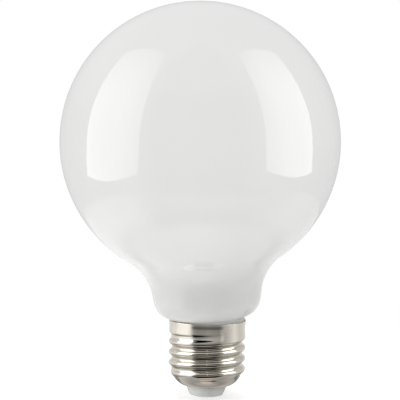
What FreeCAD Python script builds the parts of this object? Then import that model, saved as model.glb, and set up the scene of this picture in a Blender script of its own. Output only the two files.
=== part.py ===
import FreeCAD, Part
import math
import os

# An opal glass globe bulb with a rolled screw cap. Millimetres, +Z up along the cap's own axis.
# The origin is the flat tip of the centre contact. The glass leans in its cap, towards -X.

V = FreeCAD.Vector
UP = V(0, 0, 1)
ORIGIN = V(0, 0, 0)

# Glass globe and its neck: heights are above the middle of its round shoulder, along the glass's own axis
globe_radius = 47.5
globe_clearance = 5.3
glass_wall = 0.8
throat_radius = 16.5
neck_radius = 18.85
neck_height = 2.4
neck_taper_deg = 9.5
shoulder_radius = 7.4
seal_fillet_radius = 1.5
seal_end_radius = 4.0

# How the glass sits on the cap's rim: it leans, it is off the middle, and this gap is at its low side
glass_lean_deg = 3.42
glass_shift = 0.26
rim_gap = 0.05

# Cement between the glass's seal tube and the cap, and how far the tube reaches below the cement
cement_thickness = 2.46
seal_tube_reach = 7.35

# Screw cap: heights are above the tip of the centre contact
sheet = 0.3
thread_pitch = 3.629
thread_arc = 1.025
crest_radius = 13.15
crest_height_at_left = 15.0
collar_radius = 13.0
collar_depth = 2.53
rim_flare = 0.15
rim_flare_height = 2.0
lip_radius = 6.95
lip_height = 3.5
bowl_radius = 6.0

# Where the thread fades out, in degrees along it from +X, beside the crest whose height is given
groove_full_deg = 486
groove_end_deg = 670
ridge_full_deg = -378
ridge_end_deg = -641

# Insulator nose and the centre contact
nose_tip_radius = 5.05
nose_tip_height = 0.35
nose_edge_radius = 5.8
nose_edge_height = 0.95
nose_round_bow = 0.2
nose_waist_radius = 6.35
nose_waist_height = 1.8
flange_radius = 9.4
flange_top_height = 7.2
contact_head_radius = 4.2
contact_head_height = 0.9
contact_flat_radius = 2.6
contact_dome_bow = 0.06
contact_shank_radius = 1.4
contact_shank_height = 8.0

# Fit between neighbouring pieces
seat_gap = 0.04

# Fineness of the rolled wall's surface, and the part of a pitch over which its slope is taken
stations_per_pitch = 12
stations_per_turn = 36
slope_share = 0.001

# Sizes that follow from the ones above
globe_height = globe_radius + globe_clearance
collar_foot_height = crest_height_at_left + thread_pitch * (groove_end_deg + 180) / 360
rim_height = collar_foot_height + collar_depth
cement_radius = collar_radius - sheet - seat_gap
seal_tube_radius = cement_radius - cement_thickness
thread_depth = 2 * thread_arc - math.sqrt((2 * thread_arc) ** 2 - (thread_pitch / 2) ** 2)
root_radius = crest_radius - thread_depth
bowl_centre_radius = root_radius - bowl_radius
bowl_centre_height = lip_height + math.sqrt(bowl_radius ** 2 - (lip_radius - bowl_centre_radius) ** 2)
bowl_start_angle = math.asin((lip_radius - bowl_centre_radius) / bowl_radius)
bowl_length = bowl_radius * (math.pi / 2 - bowl_start_angle)
wall_length = bowl_length + rim_height - bowl_centre_height


def smooth_step(low, high, value):
    """0 at or below low, 1 at or above high, with level ends."""
    share = min(max((value - low) / (high - low), 0.0), 1.0)
    return share * share * (3 - 2 * share)


def revolved(edges):
    """The solid that a closed outline in the XZ plane sweeps round Z."""
    return Part.Face(Part.Wire(edges)).revolve(ORIGIN, UP, 360)


def line(start, end):
    return Part.LineSegment(V(start[0], 0, start[1]), V(end[0], 0, end[1])).toShape()


def polar(centre, radius, angle):
    """A point of the XZ plane, by its angle from +X towards +Z."""
    return (centre[0] + radius * math.cos(angle), centre[1] + radius * math.sin(angle))


def arc(centre, radius, start_angle, end_angle):
    points = [polar(centre, radius, a) for a in (start_angle, (start_angle + end_angle) / 2, end_angle)]
    return Part.Arc(*[V(x, 0, z) for x, z in points]).toShape()


def bowed(start, end, bow):
    """An arc between two points that swells from the straight line by the given bow, on its right side."""
    x, z = end[0] - start[0], end[1] - start[1]
    length = math.hypot(x, z)
    middle = ((start[0] + end[0]) / 2 + bow * z / length, (start[1] + end[1]) / 2 - bow * x / length)
    return Part.Arc(*[V(px, 0, pz) for px, pz in (start, middle, end)]).toShape()


def shoulder_centre():
    """Centre of the round shoulder, which the tapered neck runs into without a corner."""
    taper = math.radians(neck_taper_deg)
    return (neck_radius - (shoulder_radius + neck_height * math.sin(taper)) / math.cos(taper), 0)


def throat_centre():
    """Centre of the hollow curve that touches both the tapered neck and the globe."""
    taper = math.radians(neck_taper_deg)
    x = neck_radius + throat_radius * math.cos(taper)
    z = neck_height - throat_radius * math.sin(taper) - globe_height
    along = -x * math.sin(taper) - z * math.cos(taper)
    spare = x * x + z * z - (globe_radius + throat_radius) ** 2
    shift = -along + math.sqrt(along * along - spare)
    return (x - shift * math.sin(taper), z - shift * math.cos(taper) + globe_height)


def fillet_centre():
    """Centre of the hollow curve between the shoulder and the straight seal tube."""
    x = seal_tube_radius + seal_fillet_radius
    shoulder = shoulder_centre()
    return (x, shoulder[1] - math.sqrt((shoulder_radius + seal_fillet_radius) ** 2 - (x - shoulder[0]) ** 2))


def glass_seat_height():
    """How far above the rim the shoulder's middle comes to lie, with the gap at the low side."""
    lean = math.radians(glass_lean_deg)
    middle = shoulder_centre()[0]
    reach = collar_radius + rim_flare - sheet - middle * math.cos(lean) - glass_shift
    return middle * math.sin(lean) + math.sqrt((shoulder_radius + rim_gap) ** 2 - reach ** 2)


def seal_tube_depth():
    """How far the seal tube reaches below the shoulder's middle: past the foot of the cement."""
    return collar_depth + glass_seat_height() + seal_tube_reach


def glass_body(inset):
    """The globe and neck as a filled form, drawn in by a wall's thickness for the space inside."""
    taper = math.radians(neck_taper_deg)
    globe = (0, globe_height)
    throat = throat_centre()
    shoulder = shoulder_centre()
    fillet = fillet_centre()
    throat_angle = math.atan2(throat[1] - globe[1], throat[0])
    fillet_angle = math.atan2(fillet[1] - shoulder[1], fillet[0] - shoulder[0])
    neck_top = polar(throat, throat_radius + inset, math.pi - taper)
    neck_foot = polar(shoulder, shoulder_radius - inset, -taper)
    tube = seal_tube_radius - inset
    end = (seal_tube_radius - seal_end_radius, seal_end_radius - seal_tube_depth())
    bottom = inset - seal_tube_depth()
    body = revolved([
        arc(globe, globe_radius - inset, math.pi / 2, throat_angle),
        arc(throat, throat_radius + inset, throat_angle + math.pi, math.pi - taper),
        line(neck_top, neck_foot),
        arc(shoulder, shoulder_radius - inset, -taper, fillet_angle),
        arc(fillet, seal_fillet_radius + inset, fillet_angle + math.pi, math.pi),
        line((tube, fillet[1]), (tube, end[1])),
        arc(end, seal_end_radius - inset, 0, -math.pi / 2),
        line((end[0], bottom), (0, bottom)),
        line((0, bottom), (0, globe_height + globe_radius - inset)),
    ])
    body.rotate(ORIGIN, V(0, 1, 0), -glass_lean_deg)
    body.translate(V(-glass_shift, 0, rim_height + glass_seat_height()))
    return body


def glass_globe():
    """Blown glass of one wall thickness, sealed at the foot of its tube."""
    return glass_body(0).cut(glass_body(glass_wall))


def thread_wave(phase):
    """Height of the rolled wave, from 0 at a root to 1 at a crest, made of arcs that touch each other."""
    offset = abs((phase + 0.5) % 1.0 - 0.5) * thread_pitch
    if offset <= thread_pitch / 4:
        return 1 - (thread_arc - math.sqrt(thread_arc ** 2 - offset ** 2)) / thread_depth
    offset = thread_pitch / 2 - offset
    return (thread_arc - math.sqrt(thread_arc ** 2 - offset ** 2)) / thread_depth


def thread_relief(turn, height):
    """How far the wall stands out from the root. The thread fades out at both of its ends."""
    phase = (height - crest_height_at_left) / thread_pitch - (turn - 0.5)
    wave = thread_wave(phase)
    nearest_crest = math.floor(phase + 0.5)
    groove_below = math.floor(phase)
    ridge = smooth_step(ridge_end_deg, ridge_full_deg, 360 * (turn + nearest_crest))
    groove = 1 - smooth_step(groove_full_deg, groove_end_deg, 360 * (turn + groove_below))
    return thread_depth * (1 - groove * (1 - wave)) * ridge


def wall_point(turn, path):
    """Radius and height of the cap's outer face, by the way up it from the lip."""
    if path < bowl_length:
        angle = bowl_start_angle + path / bowl_radius
        radius = bowl_centre_radius + bowl_radius * math.sin(angle)
        height = bowl_centre_height - bowl_radius * math.cos(angle)
    else:
        radius = root_radius
        height = bowl_centre_height + path - bowl_length
    flare = rim_flare * smooth_step(rim_height - rim_flare_height, rim_height, height)
    narrowing = smooth_step(collar_foot_height - thread_pitch, collar_foot_height, height)
    collar = (crest_radius - collar_radius) * narrowing
    return (radius + thread_relief(turn, height) + flare - collar, height)


def inset_point(turn, path, inset):
    """The same point, moved in square to the sheet."""
    step = thread_pitch * slope_share
    radius, height = wall_point(turn, path)
    below = wall_point(turn, path - step)
    above = wall_point(turn, path + step)
    rise = math.hypot(above[0] - below[0], above[1] - below[1])
    out = ((above[1] - below[1]) / rise, (below[0] - above[0]) / rise)
    angle = 2 * math.pi * turn
    radius -= inset * out[0]
    return V(radius * math.cos(angle), radius * math.sin(angle), height - inset * out[1])


def spline(points, closed):
    """The smooth curve through evenly spaced points."""
    steps = len(points) if closed else len(points) - 1
    curve = Part.BSplineCurve()
    curve.interpolate(Points=points, PeriodicFlag=closed, Parameters=[i / steps for i in range(steps + 1)])
    return curve


def wall_face(inset):
    """One side of the rolled sheet: rings through points of the wall's formula, joined by ribs."""
    rows = math.ceil(wall_length / thread_pitch * stations_per_pitch)
    paths = [wall_length * row / rows for row in range(rows + 1)]
    turns = [column / stations_per_turn for column in range(stations_per_turn)]
    rings = [spline([inset_point(turn, path, inset) for turn in turns], True) for path in paths]
    ribs = [spline(list(poles), False) for poles in zip(*[ring.getPoles() for ring in rings])]
    ring = rings[0]
    rib = ribs[0]
    surface = Part.BSplineSurface()
    surface.buildFromPolesMultsKnots(
        [each.getPoles() for each in ribs],
        ring.getMultiplicities(),
        rib.getMultiplicities(),
        ring.getKnots(),
        rib.getKnots(),
        True,
        False,
        ring.Degree,
        rib.Degree,
    )
    return surface.toShape()


def edge_loop(face, upper):
    """The round edge of a wall's face at the rim or at the lip."""
    rings = [edge for edge in face.Edges if edge.isClosed()]
    rings.sort(key=lambda edge: edge.CenterOfMass.z)
    return rings[-1] if upper else rings[0]


def screw_shell():
    """Thin sheet rolled into a round thread, bowled in at the bottom round the insulator."""
    outside = wall_face(0)
    inside = wall_face(sheet)
    rim = Part.makeRuledSurface(edge_loop(outside, True), edge_loop(inside, True))
    lip = Part.makeRuledSurface(edge_loop(outside, False), edge_loop(inside, False))
    shell = Part.makeShell([outside, inside, rim, lip])
    shell.sewShape()
    solid = Part.makeSolid(shell)
    if solid.Volume < 0:
        solid.reverse()
    return solid


def cap_cement():
    """Cement between the collar and the glass, from the thread's end up to the shoulder."""
    height = collar_depth + glass_seat_height()
    return Part.makeCylinder(cement_radius, height, V(0, 0, collar_foot_height)).cut(glass_body(0))


def cap_insulator():
    """Moulded nose: its flange rests inside the bowl and its tip carries the centre contact."""
    bowl = (bowl_centre_radius, bowl_centre_height)
    seat_radius = bowl_radius - sheet - seat_gap
    hole_radius = lip_radius - sheet * math.sin(bowl_start_angle) - seat_gap
    start = math.asin((hole_radius - bowl[0]) / seat_radius) - math.pi / 2
    stop = math.asin((flange_radius - bowl[0]) / seat_radius) - math.pi / 2
    flange_start = polar(bowl, seat_radius, start)
    flange_stop = polar(bowl, seat_radius, stop)
    shank = contact_shank_radius + seat_gap
    head = contact_head_radius + seat_gap
    head_top = contact_head_height + seat_gap
    tip = (nose_tip_radius, nose_tip_height)
    edge = (nose_edge_radius, nose_edge_height)
    waist = (nose_waist_radius, nose_waist_height)
    return revolved([
        line((head, nose_tip_height), tip),
        bowed(tip, edge, nose_round_bow),
        line(edge, waist),
        line(waist, (hole_radius, lip_height)),
        line((hole_radius, lip_height), flange_start),
        arc(bowl, seat_radius, start, stop),
        line(flange_stop, (flange_radius, flange_top_height)),
        line((flange_radius, flange_top_height), (shank, flange_top_height)),
        line((shank, flange_top_height), (shank, head_top)),
        line((shank, head_top), (head, head_top)),
        line((head, head_top), (head, nose_tip_height)),
    ])


def centre_contact():
    """Pressed contact with a flat tip, held by its shank in the insulator."""
    corner = (contact_head_radius, nose_tip_height)
    dome = bowed((contact_flat_radius, 0), corner, contact_dome_bow)
    outline = [
        corner,
        (contact_head_radius, contact_head_height),
        (contact_shank_radius, contact_head_height),
        (contact_shank_radius, contact_shank_height),
        (0, contact_shank_height),
        (0, 0),
        (contact_flat_radius, 0),
    ]
    edges = [line(a, b) for a, b in zip(outline, outline[1:])]
    return revolved([dome] + edges)


def main():
    nodes = {
        "glass_globe": glass_globe(),
        "cap_cement": cap_cement(),
        "screw_shell": screw_shell(),
        "cap_insulator": cap_insulator(),
        "centre_contact": centre_contact(),
    }
    os.makedirs("parts", exist_ok=True)
    for name, shape in nodes.items():
        shape.exportStep(f"parts/{name}.step")


main()
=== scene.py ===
import math

import bpy
from mathutils import Matrix, Vector


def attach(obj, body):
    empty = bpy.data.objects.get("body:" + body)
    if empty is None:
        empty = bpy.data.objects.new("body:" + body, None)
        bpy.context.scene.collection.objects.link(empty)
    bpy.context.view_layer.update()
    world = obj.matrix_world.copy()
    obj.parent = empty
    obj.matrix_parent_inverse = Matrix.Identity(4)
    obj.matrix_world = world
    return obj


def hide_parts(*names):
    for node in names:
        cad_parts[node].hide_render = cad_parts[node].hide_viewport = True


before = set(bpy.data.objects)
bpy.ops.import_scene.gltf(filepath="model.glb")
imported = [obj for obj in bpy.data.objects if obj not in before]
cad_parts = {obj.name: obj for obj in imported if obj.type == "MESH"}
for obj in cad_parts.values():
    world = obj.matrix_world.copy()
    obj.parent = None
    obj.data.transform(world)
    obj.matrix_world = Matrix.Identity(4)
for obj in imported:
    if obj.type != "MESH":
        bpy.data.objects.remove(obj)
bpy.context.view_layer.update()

# An opal glass globe bulb on a rolled screw cap. Lengths are in millimetres, heights are above the
# tip of the centre contact, and MM makes metres of them when a piece is made.
MM = 0.001

# The glass, with heights along its own axis above the middle of its round shoulder
GLOBE_RADIUS = 47.5
GLOBE_HEIGHT = 52.8
THROAT_RADIUS = 16.5
NECK_RADIUS = 18.85
NECK_HEIGHT = 2.4
NECK_TAPER = math.radians(9.5)
SHOULDER_RADIUS = 7.4
SEAL_TUBE_RADIUS = 10.2
SEAL_TUBE_DEPTH = 17.8
SEAL_FILLET_RADIUS = 1.5
SEAL_END_RADIUS = 4.0

# How the glass sits askew on the cap, and the height of its shoulder's middle above the contact
GLASS_LEAN = math.radians(3.42)
GLASS_SHIFT = 0.26
SHOULDER_HEIGHT = 34.013

# The rolled screw shell, and where its thread fades, in turns along it from +X
SHEET = 0.3
SHEET_EDGE_BEVEL = 0.07
THREAD_PITCH = 3.629
THREAD_ARC = 1.025
THREAD_DEPTH = 2 * THREAD_ARC - math.sqrt((2 * THREAD_ARC) ** 2 - (THREAD_PITCH / 2) ** 2)
CREST_RADIUS = 13.15
ROOT_RADIUS = CREST_RADIUS - THREAD_DEPTH
CREST_HEIGHT_AT_LEFT = 15.0
GROOVE_FADES = (486 / 360, 670 / 360)
RIDGE_FADES = (-641 / 360, -378 / 360)
COLLAR_STEP = 0.15
COLLAR_DEPTH = 2.53
COLLAR_FOOT_HEIGHT = CREST_HEIGHT_AT_LEFT + THREAD_PITCH * (GROOVE_FADES[1] + 0.5)
RIM_HEIGHT = COLLAR_FOOT_HEIGHT + COLLAR_DEPTH
RIM_FLARE = 0.15
RIM_FLARE_HEIGHT = 2.0
LIP_RADIUS = 6.95
LIP_HEIGHT = 3.5
BOWL_RADIUS = 6.0

# Insulator nose and centre contact. A pair is a radius and a height.
NOSE_TIP = (5.05, 0.35)
NOSE_EDGE = (5.8, 0.95)
NOSE_WAIST = (6.35, 1.8)
FLANGE = (9.4, 7.2)
CONTACT_FLAT_RADIUS = 2.6
CONTACT_HEAD = (4.2, 0.9)
CONTACT_SHANK = (1.4, 8.0)
SEAT_GAP = 0.04

# Fineness of the meshes: steps round a piece, and rows along each curve of its outline. Points that lie
# closer than the last value are merged.
GLOBE_STEPS = 160
GLOBE_RINGS = 100
SHELL_STEPS = 180
NOSE_STEPS = 96
CONTACT_STEPS = 64
THROAT_ROWS = 18
SHOULDER_ROWS = 16
FILLET_ROWS = 6
SEAL_END_ROWS = 8
BOWL_ROWS = 44
WALL_ROWS = 96
NOSE_EDGE_ROWS = 6
SEAT_ROWS = 8
DOME_ROWS = 6
SAME_PLACE = 0.002

# Edges that turn less than this are shaded smooth: on the glass and the shell's plain wall, on the
# finished sheet, and on the nose and the contact
ROUND_EDGE_DEG = 60
SHEET_EDGE_DEG = 50
CRISP_EDGE_DEG = 35

# The camera, from the middle of the globe
GLOBE_CENTRE = Vector((-3.41, 0.0, 86.70))
CAMERA_BACK = 700.0
CAMERA_UP = 45.0
CAMERA_RIGHT = 0.24
CAMERA_PITCH = math.radians(5.288)
CAMERA_ROLL = math.radians(0.9)
CAMERA_LENS = 186.63
CAMERA_SENSOR = 36.0
CAMERA_SEES = (10.0, 20000.0)

# The light that falls on the object: white from all round, a little less from the right and from above
WHITE = (1.0, 1.0, 1.0, 1.0)
SOFT_LIGHT = 0.94
SOFT_LIGHT_RIGHT = -0.01
SOFT_LIGHT_UP = -0.03

# The room that gloss and metal mirror, as tones by level, from -1 straight down to 1 straight up. On the
# camera's side it is dim and warm, and it passes into the walls between the two angles. All of it is
# darker to the right.
WARM = (1.0, 0.93, 0.87)
ROOM_ENDS_DEG = (30, 60)
ROOM_BY_LEVEL = ((-1.0, 0.7), (-0.96, 1.05), (-0.88, 0.03), (-0.74, 0.0), (0.5, 0.0), (0.8, 0.5))
WALLS_BY_LEVEL = ((-1.0, 0.65), (-0.9, 0.42), (-0.7, 0.7), (-0.4, 0.62), (0.1, 0.62), (0.5, 0.8))
ROOM_RIGHT = -0.4

# A direction's level reach is never less than this, because it divides
LEAST_REACH = 0.0001

# A colour ramp holds no tone above 1, so tones are stored as shares of this one and scaled back
TONE_CAP = 2.0

# The low screen round the cap, higher on the right. Its tones go by angle from the camera's side, to the
# right where positive, and by height, in front and at the sides. The front passes into the sides between
# the last two angles.
SCREEN_STEPS = 96
SCREEN_RADIUS = 100.0
SCREEN_BOTTOM = -60.0
SCREEN_TOP = 34.0
SCREEN_DEPTH = SCREEN_TOP - SCREEN_BOTTOM
SCREEN_TILT = math.radians(3.4)
SCREEN_BY_ANGLE = (
    (-160, 0.9), (-131, 0.95), (-107, 1.05), (-90, 1.35), (-59, 1.35), (-50.5, 1.1),
    (-42.5, 0.5), (-37, 0.33), (-26, 0.28), (2, 0.35), (34, 0.29), (42, 0.48),
    (54, 0.56), (66, 0.72), (84, 1.0), (108, 0.76), (160, 0.9)
)
SCREEN_FRONT_BY_HEIGHT = (
    (-60, 0.02), (-19, 0.02), (-12, 0.4), (-6, 0.5), (2, 1.0), (10, 1.0), (19, 1.6), (28, 1.5), (31, 0.02)
)
SCREEN_SIDES_BY_HEIGHT = ((-42, 0.35), (-8, 1.0))
SCREEN_FRONT_ENDS = (math.radians(40), math.radians(52))

# The softboxes that the globe mirrors as two bright bands. Level with the globe's middle, a panel's back
# and front edges are this far from the place where it faces the globe. Low and top are the heights of its
# corners from that level, the back one first. Both edges bow back by the square of the height, with one
# bow for below that level and one for above it, and the lower edge sags in its middle.
LEFT_SOFTBOX = {"side": -1, "back": 203, "front": 290, "low": (-184, -210), "top": (644, 1188)}
RIGHT_SOFTBOX = {"side": 1, "back": 191, "front": 243, "low": (-145, -167), "top": (680, 1206)}
SOFTBOX_CELLS = 24
SOFTBOX_ANGLE_DEG = 78
SOFTBOX_DISTANCE = 500.0
SOFTBOX_BACK_BOWS = (0.0019, 0.00047)
SOFTBOX_FRONT_BOWS = (0.001, 0.000165)
SOFTBOX_SAG = 22.0
SOFTBOX_LIGHT = 3.4

# How a panel fades: where across it the fade starts and ends, and the share of light at each
SOFTBOX_FADE_FORWARD = (0.55, 1.0, 1.0, 0.62)
SOFTBOX_FADE_UP = (0.35, 1.05, 1.0, 0.35)

# The divider between the two softboxes, with heights above the globe's middle
DIVIDER_STEPS = 128
DIVIDER_INNER_RADIUS = 48.0
DIVIDER_OUTER_RADIUS = 220.0
DIVIDER_BOTTOM = -36.0
DIVIDER_LIGHT = 0.68

# The floor. The light that it throws back goes from its left value to its right one between two places,
# and its front value is added in full at a place in front and not at all at the axis. It is full at the
# nearer reach from the axis and ends at the further one.
FLOOR_STEPS = 96
FLOOR_RADIUS = 160.0
FLOOR_HEIGHT = -0.05
FLOOR_COLOUR = (0.9, 0.9, 0.9, 1.0)
FLOOR_ROUGHNESS = 0.8
FLOOR_WHITENING = 0.4
FLOOR_GLOW_LEFT = 2.6
FLOOR_GLOW_RIGHT = 1.15
FLOOR_GLOW_FRONT = -1.6
FLOOR_GLOW_SIDEWAYS = (-15.0, 3.0)
FLOOR_GLOW_DEPTH = (-55.0, 0.0)
FLOOR_GLOW_REACH = (20.0, 66.0)

# Opal glass, with painted shade that greys it from the globe down the neck, and again beside its seal
OPAL_DEEP = (0.85, 0.85, 0.845, 1.0)
OPAL_PALE = (0.865, 0.865, 0.86, 1.0)
OPAL_NECK_SHADE = (0.65, 0.65, 0.635, 1.0)
OPAL_SEAL_SHADE = (0.54, 0.54, 0.525, 1.0)
NECK_SHADE_AT = (62.0, 34.0)
SEAL_SHADE_AT = (32.5, 28.0)
OPAL_ROUGHNESS = (0.045, 0.09)

# Nickel plating, with painted shade that darkens it down in the thread and leaves it paler on the crests.
# The paler tone starts this far above the root and is full this far below the crest.
NICKEL_SHADED_ROOT = (0.60, 0.565, 0.495, 1.0)
NICKEL_LIT_CREST = (0.70, 0.665, 0.59, 1.0)
NICKEL_MARKED = (0.62, 0.575, 0.50, 1.0)
NICKEL_ROUGHNESS = (0.02, 0.06)
NICKEL_LINE_ROUGHNESS = 0.02
LIT_ABOVE_ROOT = 0.1
LIT_BELOW_CREST = 0.25

# Contact, insulator and cement
CONTACT_CLEAN = (0.62, 0.59, 0.53, 1.0)
CONTACT_MARKED = (0.45, 0.42, 0.37, 1.0)
CONTACT_ROUGHNESS = (0.2, 0.4)
INSULATOR_DEEP = (0.32, 0.32, 0.306, 1.0)
INSULATOR_PALE = (0.355, 0.355, 0.34, 1.0)
INSULATOR_MARKED = (0.285, 0.285, 0.272, 1.0)
INSULATOR_ROUGHNESS = (0.2, 0.35)
CEMENT_DEEP = (0.48, 0.48, 0.465, 1.0)
CEMENT_PALE = (0.60, 0.60, 0.58, 1.0)
CEMENT_PATCHES = (0.54, 0.54, 0.52, 1.0)
CEMENT_ROUGHNESS = 0.9

# Depths of the fine relief
FINE_RELIEF = 0.02
CEMENT_RELIEF = 0.1

# Noise stays near a half, so the stretch between two of its values is spread from 0 to 1
CLOUD_SPREAD = (0.3, 0.7)
SMUDGE_SPREAD = (0.45, 0.72)
LINE_SPREAD = (0.35, 0.65)
GRAIN_SPREAD = (0.3, 0.7)

# Drawn lines are noise that is drawn out level and stays fine upwards
LINE_SHAPE = (0.02, 0.02, 1.0)


# Modelling helpers


def deselect_all():
    bpy.ops.object.select_all(action="DESELECT")


def start_editing():
    """Opens the piece with all of it selected."""
    bpy.ops.object.mode_set(mode="EDIT")
    bpy.ops.mesh.select_all(action="SELECT")


def start_ring(name, steps, radius, height, filled=False):
    """A ring to pull a wall from, closed by a face where it is an end of the piece."""
    deselect_all()
    fill = "NGON" if filled else "NOTHING"
    place = (0, 0, height * MM)
    bpy.ops.mesh.primitive_circle_add(vertices=steps, radius=radius * MM, fill_type=fill, location=place)
    piece = bpy.context.object
    piece.name = name
    bpy.ops.object.transform_apply(location=True)
    return piece


def select_open_edge():
    """Selects the edge that a wall grows from."""
    bpy.ops.mesh.select_mode(type="EDGE")
    bpy.ops.mesh.select_all(action="SELECT")
    bpy.ops.mesh.region_to_loop()


def pull_wall(outline):
    """Pulls the selected ring through the radii and heights of an outline."""
    radius, height = outline[0]
    for next_radius, next_height in outline[1:]:
        rise = (0, 0, (next_height - height) * MM)
        bpy.ops.mesh.extrude_region_move(TRANSFORM_OT_translate={"value": rise})
        share = next_radius / radius
        bpy.ops.transform.resize(value=(share, share, 1), center_override=(0, 0, next_height * MM))
        radius, height = next_radius, next_height


def finish_mesh(smooth_deg):
    """Merges doubles, points the faces out and smooths all but the sharp edges."""
    bpy.ops.mesh.select_all(action="SELECT")
    bpy.ops.mesh.remove_doubles(threshold=SAME_PLACE * MM)
    bpy.ops.mesh.normals_make_consistent(inside=False)
    bpy.ops.object.mode_set(mode="OBJECT")
    bpy.ops.object.shade_smooth_by_angle(angle=math.radians(smooth_deg))


def apply_modifier(piece, kind, **settings):
    """Adds a modifier with its settings and applies it."""
    modifier = piece.modifiers.new(kind.lower(), kind)
    for key, value in settings.items():
        setattr(modifier, key, value)
    bpy.ops.object.modifier_apply(modifier=modifier.name)


def arc(centre, radius, start, end, steps):
    """Radii and heights along an arc, by angles from outwards towards up."""
    angles = [start + (end - start) * step / steps for step in range(steps + 1)]
    return [(centre[0] + radius * math.cos(a), centre[1] + radius * math.sin(a)) for a in angles]


def quarter_dome(flat_radius, reach, rise, steps):
    """Radii and heights of a dome's lower side, from the edge of its flat out to where it stands upright."""
    angles = [math.pi / 2 * step / steps for step in range(steps + 1)]
    return [(flat_radius + reach * math.sin(a), rise * (1 - math.cos(a))) for a in angles]


def smooth_step(low, high, value):
    """0 at or below low, 1 at or above high, with level ends."""
    share = min(max((value - low) / (high - low), 0.0), 1.0)
    return share * share * (3 - 2 * share)


# The glass


def shoulder_centre():
    """Centre of the round shoulder, which touches the tapered neck."""
    return (NECK_RADIUS - (SHOULDER_RADIUS + NECK_HEIGHT * math.sin(NECK_TAPER)) / math.cos(NECK_TAPER), 0.0)


def throat_centre():
    """Centre of the hollow curve that touches both the tapered neck and the globe."""
    x = NECK_RADIUS + THROAT_RADIUS * math.cos(NECK_TAPER)
    z = NECK_HEIGHT - THROAT_RADIUS * math.sin(NECK_TAPER) - GLOBE_HEIGHT
    along = -x * math.sin(NECK_TAPER) - z * math.cos(NECK_TAPER)
    spare = x * x + z * z - (GLOBE_RADIUS + THROAT_RADIUS) ** 2
    shift = math.sqrt(along * along - spare) - along
    return (x - shift * math.sin(NECK_TAPER), z - shift * math.cos(NECK_TAPER) + GLOBE_HEIGHT)


def fillet_centre(shoulder):
    """Centre of the hollow curve between the shoulder and the straight seal tube."""
    x = SEAL_TUBE_RADIUS + SEAL_FILLET_RADIUS
    drop = math.sqrt((SHOULDER_RADIUS + SEAL_FILLET_RADIUS) ** 2 - (x - shoulder[0]) ** 2)
    return (x, shoulder[1] - drop)


def neck_outline():
    """From the globe down: throat, tapered neck, shoulder, fillet, seal tube and its round end."""
    throat = throat_centre()
    shoulder = shoulder_centre()
    fillet = fillet_centre(shoulder)
    throat_angle = math.atan2(throat[1] - GLOBE_HEIGHT, throat[0])
    fillet_angle = math.atan2(fillet[1] - shoulder[1], fillet[0] - shoulder[0])
    end = (SEAL_TUBE_RADIUS - SEAL_END_RADIUS, SEAL_END_RADIUS - SEAL_TUBE_DEPTH)
    outline = arc(throat, THROAT_RADIUS, throat_angle + math.pi, math.pi - NECK_TAPER, THROAT_ROWS)
    outline += arc(shoulder, SHOULDER_RADIUS, -NECK_TAPER, fillet_angle, SHOULDER_ROWS)
    outline += arc(fillet, SEAL_FILLET_RADIUS, fillet_angle + math.pi, math.pi, FILLET_ROWS)[1:]
    outline += arc(end, SEAL_END_RADIUS, 0, -math.pi / 2, SEAL_END_ROWS)
    return outline


def model_glass():
    """A blown globe: a sphere cut open below, drawn down through throat, neck and shoulder to its seal."""
    outline = neck_outline()
    deselect_all()
    middle = (0, 0, GLOBE_HEIGHT * MM)
    bpy.ops.mesh.primitive_uv_sphere_add(
        segments=GLOBE_STEPS, ring_count=GLOBE_RINGS, radius=GLOBE_RADIUS * MM, location=middle
    )
    glass = bpy.context.object
    glass.name = "opal_globe"
    bpy.ops.object.transform_apply(location=True)
    start_editing()
    cut = (0, 0, outline[0][1] * MM)
    bpy.ops.mesh.bisect(plane_co=cut, plane_no=(0, 0, 1), clear_inner=True)
    select_open_edge()
    pull_wall(outline)
    bpy.ops.mesh.edge_face_add()
    finish_mesh(ROUND_EDGE_DEG)
    glass.rotation_euler = (0, -GLASS_LEAN, 0)
    glass.location = (-GLASS_SHIFT * MM, 0, SHOULDER_HEIGHT * MM)
    bpy.ops.object.transform_apply(location=True, rotation=True)
    return glass


# The screw shell


def bowl_centre():
    """Centre of the bowl's round wall, which starts at the lip and ends upright under the thread."""
    x = ROOT_RADIUS - BOWL_RADIUS
    return (x, LIP_HEIGHT + math.sqrt(BOWL_RADIUS**2 - (LIP_RADIUS - x) ** 2))


def thread_wave(phase):
    """Height of the rolled wave, from 0 at a root to 1 at a crest."""
    offset = abs((phase + 0.5) % 1.0 - 0.5) * THREAD_PITCH
    if offset <= THREAD_PITCH / 4:
        return 1 - (THREAD_ARC - math.sqrt(THREAD_ARC**2 - offset**2)) / THREAD_DEPTH
    offset = THREAD_PITCH / 2 - offset
    return (THREAD_ARC - math.sqrt(THREAD_ARC**2 - offset**2)) / THREAD_DEPTH


def thread_share(turn, height):
    """How far the wall stands out between root and crest. The thread fades out at both of its ends."""
    phase = (height - CREST_HEIGHT_AT_LEFT) / THREAD_PITCH - (turn - 0.5)
    ridge = smooth_step(*RIDGE_FADES, turn + math.floor(phase + 0.5))
    groove = 1 - smooth_step(*GROOVE_FADES, turn + math.floor(phase))
    return (1 - groove * (1 - thread_wave(phase))) * ridge


def shell_outline():
    """The plain wall under the thread: the bowl, then straight up to the collar and its slight flare."""
    bowl = bowl_centre()
    lip_angle = math.asin((LIP_RADIUS - bowl[0]) / BOWL_RADIUS) - math.pi / 2
    outline = arc(bowl, BOWL_RADIUS, lip_angle, 0, BOWL_ROWS)
    for row in range(1, WALL_ROWS + 1):
        height = bowl[1] + (RIM_HEIGHT - bowl[1]) * row / WALL_ROWS
        flare = RIM_FLARE * smooth_step(RIM_HEIGHT - RIM_FLARE_HEIGHT, RIM_HEIGHT, height)
        step = COLLAR_STEP * smooth_step(COLLAR_FOOT_HEIGHT - THREAD_PITCH, COLLAR_FOOT_HEIGHT, height)
        outline.append((ROOT_RADIUS + flare - step, height))
    return outline


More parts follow.
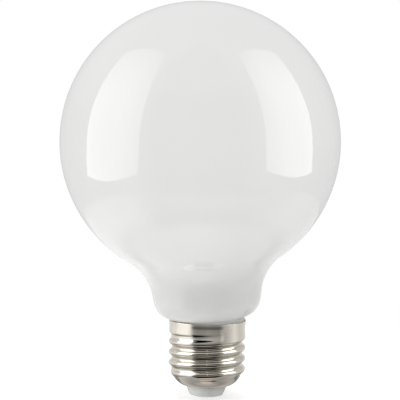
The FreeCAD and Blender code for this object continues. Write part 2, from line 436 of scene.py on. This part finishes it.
def mark_thread(shell):
    """Weighs each point of the plain wall by how far the thread swells it out."""
    thread = shell.vertex_groups.new(name="thread")
    for vertex in shell.data.vertices:
        x, y, z = vertex.co / MM
        turn = (math.atan2(y, x) / (2 * math.pi)) % 1.0
        thread.add([vertex.index], thread_share(turn, z), "REPLACE")
    return thread.name


def model_shell():
    """Sheet metal: a wall pulled up from the lip, swelled out along the thread, and given its thickness."""
    outline = shell_outline()
    shell = start_ring("rolled_shell", SHELL_STEPS, *outline[0])
    start_editing()
    pull_wall(outline)
    finish_mesh(ROUND_EDGE_DEG)
    thread = mark_thread(shell)
    swell = THREAD_DEPTH * MM
    apply_modifier(shell, "DISPLACE", strength=swell, mid_level=0.0, vertex_group=thread, direction="NORMAL")
    apply_modifier(shell, "SOLIDIFY", thickness=SHEET * MM, offset=-1.0, use_even_offset=True)
    sharp = math.radians(SHEET_EDGE_DEG)
    bevel = SHEET_EDGE_BEVEL * MM
    apply_modifier(shell, "BEVEL", width=bevel, segments=2, limit_method="ANGLE", angle_limit=sharp)
    bpy.ops.object.shade_smooth_by_angle(angle=sharp)
    return shell


# The insulator and the contact


def insulator_outline():
    """From the tip round the nose, along the bowl to the flange, and back down through the contact's hole."""
    bowl = bowl_centre()
    seat_radius = BOWL_RADIUS - SHEET - SEAT_GAP
    lip_reach = (LIP_RADIUS - bowl[0]) / BOWL_RADIUS
    hole_radius = LIP_RADIUS - SHEET * lip_reach - SEAT_GAP
    start = math.asin((hole_radius - bowl[0]) / seat_radius) - math.pi / 2
    stop = math.asin((FLANGE[0] - bowl[0]) / seat_radius) - math.pi / 2
    head = CONTACT_HEAD[0] + SEAT_GAP
    head_top = CONTACT_HEAD[1] + SEAT_GAP
    shank = CONTACT_SHANK[0] + SEAT_GAP
    tip_rounding = (NOSE_TIP[0], NOSE_EDGE[1])
    outline = [(head, NOSE_TIP[1]), NOSE_TIP]
    outline += arc(tip_rounding, NOSE_EDGE[0] - NOSE_TIP[0], -math.pi / 2, 0, NOSE_EDGE_ROWS)[1:]
    outline += [NOSE_WAIST, (hole_radius, LIP_HEIGHT)]
    outline += arc(bowl, seat_radius, start, stop, SEAT_ROWS)
    outline += [FLANGE, (shank, FLANGE[1])]
    outline += [(shank, head_top), (head, head_top), (head, NOSE_TIP[1])]
    return outline


def model_insulator():
    """Moulded nose, rounded at its tip, with a flange that rests in the bowl and a hole for the contact."""
    outline = insulator_outline()
    nose = start_ring("insulator_nose", NOSE_STEPS, *outline[0])
    start_editing()
    pull_wall(outline)
    finish_mesh(CRISP_EDGE_DEG)
    return nose


def model_contact():
    """Pressed contact: a flat tip, a head that is rounded as high as the insulator's tip, and a shank."""
    contact = start_ring("centre_contact_button", CONTACT_STEPS, CONTACT_FLAT_RADIUS, 0.0, filled=True)
    start_editing()
    bpy.ops.mesh.region_to_loop()
    reach = CONTACT_HEAD[0] - CONTACT_FLAT_RADIUS
    outline = quarter_dome(CONTACT_FLAT_RADIUS, reach, NOSE_TIP[1], DOME_ROWS)
    outline += [CONTACT_HEAD, (CONTACT_SHANK[0], CONTACT_HEAD[1]), CONTACT_SHANK]
    pull_wall(outline)
    bpy.ops.mesh.edge_face_add()
    finish_mesh(CRISP_EDGE_DEG)
    return contact


# Material helpers


def new_material(name):
    """A material with a bare Principled shader."""
    material = bpy.data.materials.new(name)
    material.use_nodes = True
    tree = material.node_tree
    return material, tree, tree.nodes["Principled BSDF"]


def link(tree, source, target):
    """Joins a socket to a socket, or sets the second to a number or a colour."""
    if isinstance(source, (int, float, tuple)):
        target.default_value = source
    else:
        tree.links.new(source, target)


def add_node(tree, kind, **values):
    """A node with its settings, and with the values of its sockets as in_0, in_1 and so on."""
    node = tree.nodes.new(kind)
    for key, value in values.items():
        if key.startswith("in_"):
            node.inputs[int(key[3:])].default_value = value
        else:
            setattr(node, key, value)
    return node


def math_node(tree, operation, first, second=None):
    """A Math node on one or two values, which are sockets or numbers."""
    node = add_node(tree, "ShaderNodeMath", operation=operation)
    link(tree, first, node.inputs[0])
    if second is not None:
        link(tree, second, node.inputs[1])
    return node.outputs[0]


def map_range(tree, value, from_low, from_high, to_low=0.0, to_high=1.0):
    """A smooth step of a value between two limits."""
    node = add_node(tree, "ShaderNodeMapRange", interpolation_type="SMOOTHSTEP")
    link(tree, value, node.inputs["Value"])
    node.inputs["From Min"].default_value = from_low
    node.inputs["From Max"].default_value = from_high
    node.inputs["To Min"].default_value = to_low
    node.inputs["To Max"].default_value = to_high
    return node.outputs["Result"]


def step_between(tree, place, limits, to_low=0.0, to_high=1.0):
    """A smooth step between two places, which are lengths like the others here."""
    return map_range(tree, place, limits[0] * MM, limits[1] * MM, to_low, to_high)


def mix_colour(tree, factor, first, second):
    """A Mix node of two colours, each a socket or a colour."""
    node = add_node(tree, "ShaderNodeMix", data_type="RGBA")
    for index, value in ((0, factor), (6, first), (7, second)):
        link(tree, value, node.inputs[index])
    return node.outputs[2]


def mix_shaders(tree, factor, first, second):
    """A Mix Shader node between two shader nodes."""
    node = add_node(tree, "ShaderNodeMixShader")
    link(tree, factor, node.inputs[0])
    link(tree, first.outputs[0], node.inputs[1])
    link(tree, second.outputs[0], node.inputs[2])
    return node


def set_surface(tree, shader):
    """Makes a shader node the material's surface."""
    link(tree, shader.outputs[0], tree.nodes["Material Output"].inputs[0])


def place_in(tree, space="Object"):
    """Where a point is, by default from the object's origin in metres."""
    return add_node(tree, "ShaderNodeTexCoord").outputs[space]


def split(tree, place):
    """The three numbers of a place."""
    parts = add_node(tree, "ShaderNodeSeparateXYZ")
    link(tree, place, parts.inputs[0])
    return parts.outputs


def distance_from_axis(tree, x, y):
    """How far a place is from the upright axis."""
    squares = math_node(tree, "ADD", math_node(tree, "MULTIPLY", x, x), math_node(tree, "MULTIPLY", y, y))
    return math_node(tree, "SQRT", squares)


def add_tones(tree, value, stops, tint=(1.0, 1.0, 1.0)):
    """A colour ramp of tones over a value from 0 to 1, each stored as a share of the cap."""
    ramp = add_node(tree, "ShaderNodeValToRGB")
    for index, (place, tone) in enumerate(stops):
        stop = ramp.color_ramp.elements[index] if index < 2 else ramp.color_ramp.elements.new(place)
        share = tone / TONE_CAP
        stop.position = place
        stop.color = (share * tint[0], share * tint[1], share * tint[2], 1.0)
    link(tree, value, ramp.inputs[0])
    return ramp.outputs[0]


# The studio


def make_camera():
    """The photo's view: a little above the globe's middle, leaning a little."""
    data = bpy.data.cameras.new("photo_camera")
    data.lens = CAMERA_LENS
    data.sensor_width = CAMERA_SENSOR
    data.clip_start = CAMERA_SEES[0] * MM
    data.clip_end = CAMERA_SEES[1] * MM
    camera = bpy.data.objects.new("photo_camera", data)
    bpy.context.scene.collection.objects.link(camera)
    place = GLOBE_CENTRE + Vector((CAMERA_RIGHT, -CAMERA_BACK, CAMERA_UP))
    turn = Matrix.Rotation(math.pi / 2 - CAMERA_PITCH, 4, "X")
    lean = Matrix.Rotation(CAMERA_ROLL, 4, "Z")
    camera.matrix_world = Matrix.Translation(place * MM) @ turn @ lean
    bpy.context.scene.camera = camera


def mirrored_room(tree, x, y, level):
    """The dim room on the camera's side and the pale walls round it."""
    reach = math_node(tree, "MAXIMUM", distance_from_axis(tree, x, y), LEAST_REACH)
    facing = math_node(tree, "DIVIDE", math_node(tree, "MULTIPLY", y, -1.0), reach)
    none, full = [math.cos(math.radians(angle)) for angle in reversed(ROOM_ENDS_DEG)]
    front = map_range(tree, facing, none, full)
    raised = math_node(tree, "MULTIPLY", math_node(tree, "ADD", level, 1.0), 0.5)
    room_stops = [((stop + 1) / 2, tone) for stop, tone in ROOM_BY_LEVEL]
    wall_stops = [((stop + 1) / 2, tone) for stop, tone in WALLS_BY_LEVEL]
    room = add_tones(tree, raised, room_stops, tint=WARM)
    walls = add_tones(tree, raised, wall_stops)
    light = add_node(tree, "ShaderNodeBackground")
    link(tree, mix_colour(tree, front, walls, room), light.inputs[0])
    sideways = math_node(tree, "MULTIPLY", x, ROOM_RIGHT)
    link(tree, math_node(tree, "ADD", sideways, TONE_CAP), light.inputs[1])
    return light


def make_world():
    """White for the camera and soft light on the object. What shines sees the room instead."""
    world = bpy.data.worlds.new("studio")
    bpy.context.scene.world = world
    world.use_nodes = True
    tree = world.node_tree
    tree.nodes.clear()
    x, y, level = split(tree, place_in(tree, "Generated"))
    room = mirrored_room(tree, x, y, level)
    soft_light = add_node(tree, "ShaderNodeBackground", in_0=WHITE)
    to_right = math_node(tree, "MULTIPLY", x, SOFT_LIGHT_RIGHT)
    to_top = math_node(tree, "MULTIPLY", level, SOFT_LIGHT_UP)
    change = math_node(tree, "ADD", to_right, to_top)
    link(tree, math_node(tree, "ADD", change, SOFT_LIGHT), soft_light.inputs[1])
    white = add_node(tree, "ShaderNodeBackground", in_0=WHITE)
    path = add_node(tree, "ShaderNodeLightPath")
    shine = math_node(tree, "MAXIMUM", path.outputs["Is Glossy Ray"], path.outputs["Is Transmission Ray"])
    lit = mix_shaders(tree, shine, soft_light, room)
    seen = mix_shaders(tree, path.outputs["Is Camera Ray"], lit, white)
    link(tree, seen.outputs[0], add_node(tree, "ShaderNodeOutputWorld").inputs[0])


def glowing_card(card, name):
    """Makes a card that only what shines can see, and gives the tree of its light."""
    card.name = name
    material, tree, shader = new_material(name)
    material.cycles.emission_sampling = "NONE"
    tree.nodes.remove(shader)
    card.data.materials.append(material)
    card.visible_camera = False
    card.visible_diffuse = False
    card.visible_shadow = False
    return tree


def bow_back(height, bows):
    """How far an edge of a softbox bows back at a height from the globe's middle."""
    return (bows[0] if height < 0 else bows[1]) * height * height


def make_softbox(name, side, back, front, low, top):
    """A soft panel beside the globe with bowed edges, fading towards its front edge and its top."""
    deselect_all()
    bpy.ops.mesh.primitive_grid_add(x_subdivisions=SOFTBOX_CELLS, y_subdivisions=SOFTBOX_CELLS, size=2)
    card = bpy.context.object
    angle = side * math.radians(SOFTBOX_ANGLE_DEG)
    out = Vector((math.sin(angle), -math.cos(angle), 0))
    along = Vector((math.cos(angle), math.sin(angle), 0)) * side
    middle = GLOBE_CENTRE + out * SOFTBOX_DISTANCE
    for vertex in card.data.vertices:
        forward = (vertex.co.x + 1) / 2
        upward = (vertex.co.y + 1) / 2
        lower = low[0] + (low[1] - low[0]) * forward - SOFTBOX_SAG * 4 * forward * (1 - forward)
        upper = top[0] + (top[1] - top[0]) * forward
        height = lower + (upper - lower) * upward
        back_edge = back + bow_back(height, SOFTBOX_BACK_BOWS)
        front_edge = -front + bow_back(height, SOFTBOX_FRONT_BOWS)
        reach = back_edge + (front_edge - back_edge) * forward
        vertex.co = (middle + along * reach + Vector((0, 0, height))) * MM
    tree = glowing_card(card, name)
    across = split(tree, place_in(tree, "UV"))
    forward_share = map_range(tree, across[0], *SOFTBOX_FADE_FORWARD)
    upward_share = map_range(tree, across[1], *SOFTBOX_FADE_UP)
    glow = add_node(tree, "ShaderNodeEmission", in_0=WHITE, in_1=SOFTBOX_LIGHT)
    clear = add_node(tree, "ShaderNodeBsdfTransparent")
    light = math_node(tree, "MULTIPLY", forward_share, upward_share)
    set_surface(tree, mix_shaders(tree, light, clear, glow))


def make_divider():
    """A ring round the globe, edge-on to the camera, so that from a side the far softbox isn't mirrored."""
    deselect_all()
    inner = DIVIDER_INNER_RADIUS * MM
    upright = (0, math.pi / 2, 0)
    bpy.ops.mesh.primitive_circle_add(
        vertices=DIVIDER_STEPS, radius=inner, location=GLOBE_CENTRE * MM, rotation=upright
    )
    card = bpy.context.object
    bpy.ops.object.transform_apply(location=True, rotation=True)
    start_editing()
    bpy.ops.mesh.extrude_region_move()
    share = DIVIDER_OUTER_RADIUS / DIVIDER_INNER_RADIUS
    bpy.ops.transform.resize(value=(1, share, share), center_override=GLOBE_CENTRE * MM)
    bpy.ops.mesh.select_all(action="SELECT")
    bottom = (GLOBE_CENTRE + Vector((0, 0, DIVIDER_BOTTOM))) * MM
    bpy.ops.mesh.bisect(plane_co=bottom, plane_no=(0, 0, 1), clear_inner=True)
    bpy.ops.object.mode_set(mode="OBJECT")
    tree = glowing_card(card, "divider")
    set_surface(tree, add_node(tree, "ShaderNodeEmission", in_0=WHITE, in_1=DIVIDER_LIGHT))


def screen_tones(tree, raised, by_height):
    """The screen's tones by height."""
    stops = [((height - SCREEN_BOTTOM) / SCREEN_DEPTH, tone) for height, tone in by_height]
    return add_tones(tree, raised, stops)


def make_low_screen():
    """A screen round the cap, which hides the softboxes from it and gives it its panels."""
    deselect_all()
    middle = (0, 0, (SCREEN_BOTTOM + SCREEN_DEPTH / 2) * MM)
    radius = SCREEN_RADIUS * MM
    depth = SCREEN_DEPTH * MM
    bpy.ops.mesh.primitive_cylinder_add(
        vertices=SCREEN_STEPS, radius=radius, depth=depth, end_fill_type="NOTHING", location=middle
    )
    card = bpy.context.object
    card.rotation_euler = (0, -SCREEN_TILT, 0)
    bpy.ops.object.transform_apply(location=True, rotation=True)
    tree = glowing_card(card, "low_screen")
    x, y, height = split(tree, place_in(tree))
    angle = math_node(tree, "ARCTAN2", x, math_node(tree, "MULTIPLY", y, -1.0))
    turn = math_node(tree, "ADD", math_node(tree, "DIVIDE", angle, 2 * math.pi), 0.5)
    tones = add_tones(tree, turn, [(place / 360 + 0.5, tone) for place, tone in SCREEN_BY_ANGLE])
    raised = math_node(tree, "ADD", math_node(tree, "DIVIDE", height, depth), -SCREEN_BOTTOM / SCREEN_DEPTH)
    front = screen_tones(tree, raised, SCREEN_FRONT_BY_HEIGHT)
    sides = screen_tones(tree, raised, SCREEN_SIDES_BY_HEIGHT)
    is_side = map_range(tree, math_node(tree, "ABSOLUTE", angle), *SCREEN_FRONT_ENDS)
    by_height = mix_colour(tree, is_side, front, sides)
    glow = add_node(tree, "ShaderNodeEmission")
    link(tree, tones, glow.inputs[0])
    link(tree, math_node(tree, "MULTIPLY", by_height, TONE_CAP * TONE_CAP), glow.inputs[1])
    set_surface(tree, glow)


def floor_glow(tree):
    """The floor's own light: a little for the camera, and what it throws back onto the object near it."""
    path = add_node(tree, "ShaderNodeLightPath")
    x, y = split(tree, place_in(tree))[:2]
    near = step_between(tree, distance_from_axis(tree, x, y), FLOOR_GLOW_REACH, 1.0, 0.0)
    sideways = step_between(tree, x, FLOOR_GLOW_SIDEWAYS, FLOOR_GLOW_LEFT, FLOOR_GLOW_RIGHT)
    in_front = step_between(tree, y, FLOOR_GLOW_DEPTH, FLOOR_GLOW_FRONT, 0.0)
    uneven = math_node(tree, "MAXIMUM", math_node(tree, "ADD", sideways, in_front), 0.0)
    thrown = math_node(tree, "MULTIPLY", uneven, near)
    thrown = math_node(tree, "MULTIPLY", path.outputs["Is Diffuse Ray"], thrown)
    seen = math_node(tree, "MULTIPLY", path.outputs["Is Camera Ray"], FLOOR_WHITENING)
    glow = add_node(tree, "ShaderNodeEmission", in_0=WHITE)
    link(tree, math_node(tree, "ADD", seen, thrown), glow.inputs[1])
    return glow


def make_floor():
    """A small round floor that stays pale and keeps the shadow."""
    deselect_all()
    place = (0, 0, FLOOR_HEIGHT * MM)
    radius = FLOOR_RADIUS * MM
    bpy.ops.mesh.primitive_circle_add(vertices=FLOOR_STEPS, radius=radius, fill_type="NGON", location=place)
    floor = bpy.context.object
    floor.name = "floor"
    material, tree, shader = new_material("pale_floor")
    shader.inputs["Base Color"].default_value = FLOOR_COLOUR
    shader.inputs["Roughness"].default_value = FLOOR_ROUGHNESS
    shader.inputs["Specular IOR Level"].default_value = 0.0
    both = add_node(tree, "ShaderNodeAddShader")
    link(tree, shader.outputs[0], both.inputs[0])
    link(tree, floor_glow(tree).outputs[0], both.inputs[1])
    set_surface(tree, both)
    floor.data.materials.append(material)
    floor.visible_glossy = False


# Effects that several finishes share


def new_group(name, inputs, outputs):
    """A shader node group with named values in and out."""
    group = bpy.data.node_groups.new(name, "ShaderNodeTree")
    for label, value in inputs.items():
        kind = "NodeSocketVector" if value is None else "NodeSocketFloat"
        socket = group.interface.new_socket(label, in_out="INPUT", socket_type=kind)
        if value is not None:
            socket.default_value = value
    for label in outputs:
        group.interface.new_socket(label, in_out="OUTPUT", socket_type="NodeSocketFloat")
    return group, group.nodes.new("NodeGroupInput"), group.nodes.new("NodeGroupOutput")


def use_group(tree, group, place, **values):
    """Places a group in a material and gives it the material's own values."""
    node = add_node(tree, "ShaderNodeGroup", node_tree=group)
    link(tree, place, node.inputs["Place"])
    for label, value in values.items():
        node.inputs[label].default_value = value
    return node


def noise(tree, place, scale, detail, roughness):
    """A cloudy value from 0 to 1, mostly near a half."""
    node = add_node(tree, "ShaderNodeTexNoise")
    link(tree, place, node.inputs["Vector"])
    link(tree, scale, node.inputs["Scale"])
    node.inputs["Detail"].default_value = detail
    node.inputs["Roughness"].default_value = roughness
    return node.outputs["Fac"]


def smudge_group():
    """Soft cloudy marks of handling, from 0 to 1."""
    inputs = {"Place": None, "Scale": 90.0, "Amount": 0.5}
    group, given, out = new_group("handling_marks", inputs, ["Marks"])
    broad = noise(group, given.outputs["Place"], given.outputs["Scale"], detail=5.0, roughness=0.6)
    marks = map_range(group, broad, *SMUDGE_SPREAD)
    link(group, math_node(group, "MULTIPLY", marks, given.outputs["Amount"]), out.inputs["Marks"])
    return group


def drawn_lines_group():
    """Fine lines round the axis that drawing and rolling leave in sheet metal."""
    inputs = {"Place": None, "Fineness": 2500.0, "Depth": 0.5}
    group, given, out = new_group("drawn_lines", inputs, ["Height", "Tone"])
    stretch = add_node(group, "ShaderNodeMapping")
    link(group, given.outputs["Place"], stretch.inputs["Vector"])
    stretch.inputs["Scale"].default_value = LINE_SHAPE
    lines = noise(group, stretch.outputs[0], given.outputs["Fineness"], detail=3.0, roughness=0.7)
    link(group, math_node(group, "MULTIPLY", lines, given.outputs["Depth"]), out.inputs["Height"])
    link(group, map_range(group, lines, *LINE_SPREAD), out.inputs["Tone"])
    return group


def grain_group():
    """Fine grain of a moulded or set surface."""
    inputs = {"Place": None, "Scale": 3000.0, "Depth": 0.5}
    group, given, out = new_group("set_grain", inputs, ["Height", "Tone"])
    grain = noise(group, given.outputs["Place"], given.outputs["Scale"], detail=6.0, roughness=0.65)
    link(group, math_node(group, "MULTIPLY", grain, given.outputs["Depth"]), out.inputs["Height"])
    link(group, map_range(group, grain, *GRAIN_SPREAD), out.inputs["Tone"])
    return group


# Finishes


def dull_by(tree, marks, limits):
    """Roughness between two limits, as the marks on the surface go from none to full."""
    return map_range(tree, marks, 0.0, 1.0, *limits)


def add_relief(tree, shader, height, strength, depth):
    """Fine relief of a depth like the other lengths here."""
    bump = add_node(tree, "ShaderNodeBump")
    bump.inputs["Strength"].default_value = strength
    bump.inputs["Distance"].default_value = depth * MM
    link(tree, height, bump.inputs["Height"])
    link(tree, bump.outputs[0], shader.inputs["Normal"])


def opal_glass(smudges):
    """Milky glass with a glossy skin. Painted shade greys the neck and the seal, which pass on less light."""
    material, tree, shader = new_material("opal_glass")
    place = place_in(tree)
    height = split(tree, place)[2]
    # Painted shade: the glass greys down the neck and beside the seal, where less light comes through it
    neck_shade = step_between(tree, height, NECK_SHADE_AT)
    seal_shade = step_between(tree, height, SEAL_SHADE_AT)
    clouds = noise(tree, place, scale=24.0, detail=3.0, roughness=0.55)
    milk = mix_colour(tree, map_range(tree, clouds, *CLOUD_SPREAD), OPAL_DEEP, OPAL_PALE)
    glass = mix_colour(tree, neck_shade, milk, OPAL_NECK_SHADE)
    link(tree, mix_colour(tree, seal_shade, glass, OPAL_SEAL_SHADE), shader.inputs["Base Color"])
    marks = use_group(tree, smudges, place, Scale=60.0, Amount=0.5)
    link(tree, dull_by(tree, marks.outputs["Marks"], OPAL_ROUGHNESS), shader.inputs["Roughness"])
    return material


def nickel_plating(smudges, lines):
    """Bright plating with fine drawn lines, painted shade down in the thread, and duller where it was
    handled.
    """
    material, tree, shader = new_material("nickel_plating")
    place = place_in(tree)
    x, y = split(tree, place)[:2]
    # Painted shade: the metal darkens from the crests down into the roots of the thread
    lit_from = (ROOT_RADIUS + LIT_ABOVE_ROOT, CREST_RADIUS - LIT_BELOW_CREST)
    lit_crest = step_between(tree, distance_from_axis(tree, x, y), lit_from)
    drawn = use_group(tree, lines, place, Fineness=2600.0, Depth=1.0)
    marks = use_group(tree, smudges, place, Scale=140.0, Amount=1.0)
    metal = mix_colour(tree, lit_crest, NICKEL_SHADED_ROOT, NICKEL_LIT_CREST)
    link(tree, mix_colour(tree, marks.outputs["Marks"], metal, NICKEL_MARKED), shader.inputs["Base Color"])
    shader.inputs["Metallic"].default_value = 1.0
    dull = dull_by(tree, marks.outputs["Marks"], NICKEL_ROUGHNESS)
    in_lines = math_node(tree, "MULTIPLY", drawn.outputs["Tone"], NICKEL_LINE_ROUGHNESS)
    link(tree, math_node(tree, "ADD", dull, in_lines), shader.inputs["Roughness"])
    add_relief(tree, shader, drawn.outputs["Height"], strength=0.04, depth=FINE_RELIEF)
    return material


def contact_metal(smudges, lines):
    """Satin plating, darker and duller where it was handled."""
    material, tree, shader = new_material("contact_metal")
    place = place_in(tree)
    drawn = use_group(tree, lines, place, Fineness=2600.0, Depth=1.0)
    marks = use_group(tree, smudges, place, Scale=500.0, Amount=1.0)
    toned = mix_colour(tree, marks.outputs["Marks"], CONTACT_CLEAN, CONTACT_MARKED)
    link(tree, toned, shader.inputs["Base Color"])
    shader.inputs["Metallic"].default_value = 1.0
    link(tree, dull_by(tree, marks.outputs["Marks"], CONTACT_ROUGHNESS), shader.inputs["Roughness"])
    add_relief(tree, shader, drawn.outputs["Height"], strength=0.2, depth=FINE_RELIEF)
    return material


def satin_insulator(smudges, grain):
    """Grey moulding with a fine grain and a satin skin."""
    material, tree, shader = new_material("satin_insulator")
    place = place_in(tree)
    fine = use_group(tree, grain, place, Scale=2600.0, Depth=1.0)
    marks = use_group(tree, smudges, place, Scale=220.0, Amount=0.6)
    body = mix_colour(tree, fine.outputs["Tone"], INSULATOR_DEEP, INSULATOR_PALE)
    toned = mix_colour(tree, marks.outputs["Marks"], body, INSULATOR_MARKED)
    link(tree, toned, shader.inputs["Base Color"])
    link(tree, dull_by(tree, marks.outputs["Marks"], INSULATOR_ROUGHNESS), shader.inputs["Roughness"])
    add_relief(tree, shader, fine.outputs["Height"], strength=0.25, depth=FINE_RELIEF)
    return material


def lamp_cement(grain):
    """Set cement: a sandy grain in two sizes, quite matt."""
    material, tree, shader = new_material("lamp_cement")
    place = place_in(tree)
    fine = use_group(tree, grain, place, Scale=2200.0, Depth=1.0)
    coarse = use_group(tree, grain, place, Scale=600.0, Depth=1.0)
    sand = mix_colour(tree, fine.outputs["Tone"], CEMENT_DEEP, CEMENT_PALE)
    link(tree, mix_colour(tree, coarse.outputs["Tone"], sand, CEMENT_PATCHES), shader.inputs["Base Color"])
    shader.inputs["Roughness"].default_value = CEMENT_ROUGHNESS
    height = math_node(tree, "ADD", fine.outputs["Height"], coarse.outputs["Height"])
    add_relief(tree, shader, height, strength=0.6, depth=CEMENT_RELIEF)
    return material


# Putting it together


def take_over(piece, node, material):
    """Lets a modelled piece stand for its CAD node, with its finish."""
    piece.data.materials.clear()
    piece.data.materials.append(material)
    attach(piece, "root")
    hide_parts(node)


def make_studio():
    """The camera and all that lights the object or shows in its gloss."""
    bpy.context.scene.view_settings.view_transform = "Standard"
    make_camera()
    make_world()
    make_softbox("left_softbox", **LEFT_SOFTBOX)
    make_softbox("right_softbox", **RIGHT_SOFTBOX)
    make_divider()
    make_low_screen()
    make_floor()


def make_bulb():
    """The four modelled pieces in place of their nodes, and a finish for the cement, which stays as it is."""
    smudges = smudge_group()
    lines = drawn_lines_group()
    grain = grain_group()
    take_over(model_glass(), "glass_globe", opal_glass(smudges))
    take_over(model_shell(), "screw_shell", nickel_plating(smudges, lines))
    take_over(model_insulator(), "cap_insulator", satin_insulator(smudges, grain))
    take_over(model_contact(), "centre_contact", contact_metal(smudges, lines))
    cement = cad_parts["cap_cement"].data
    cement.materials.clear()
    cement.materials.append(lamp_cement(grain))


def main():
    make_studio()
    make_bulb()


main()
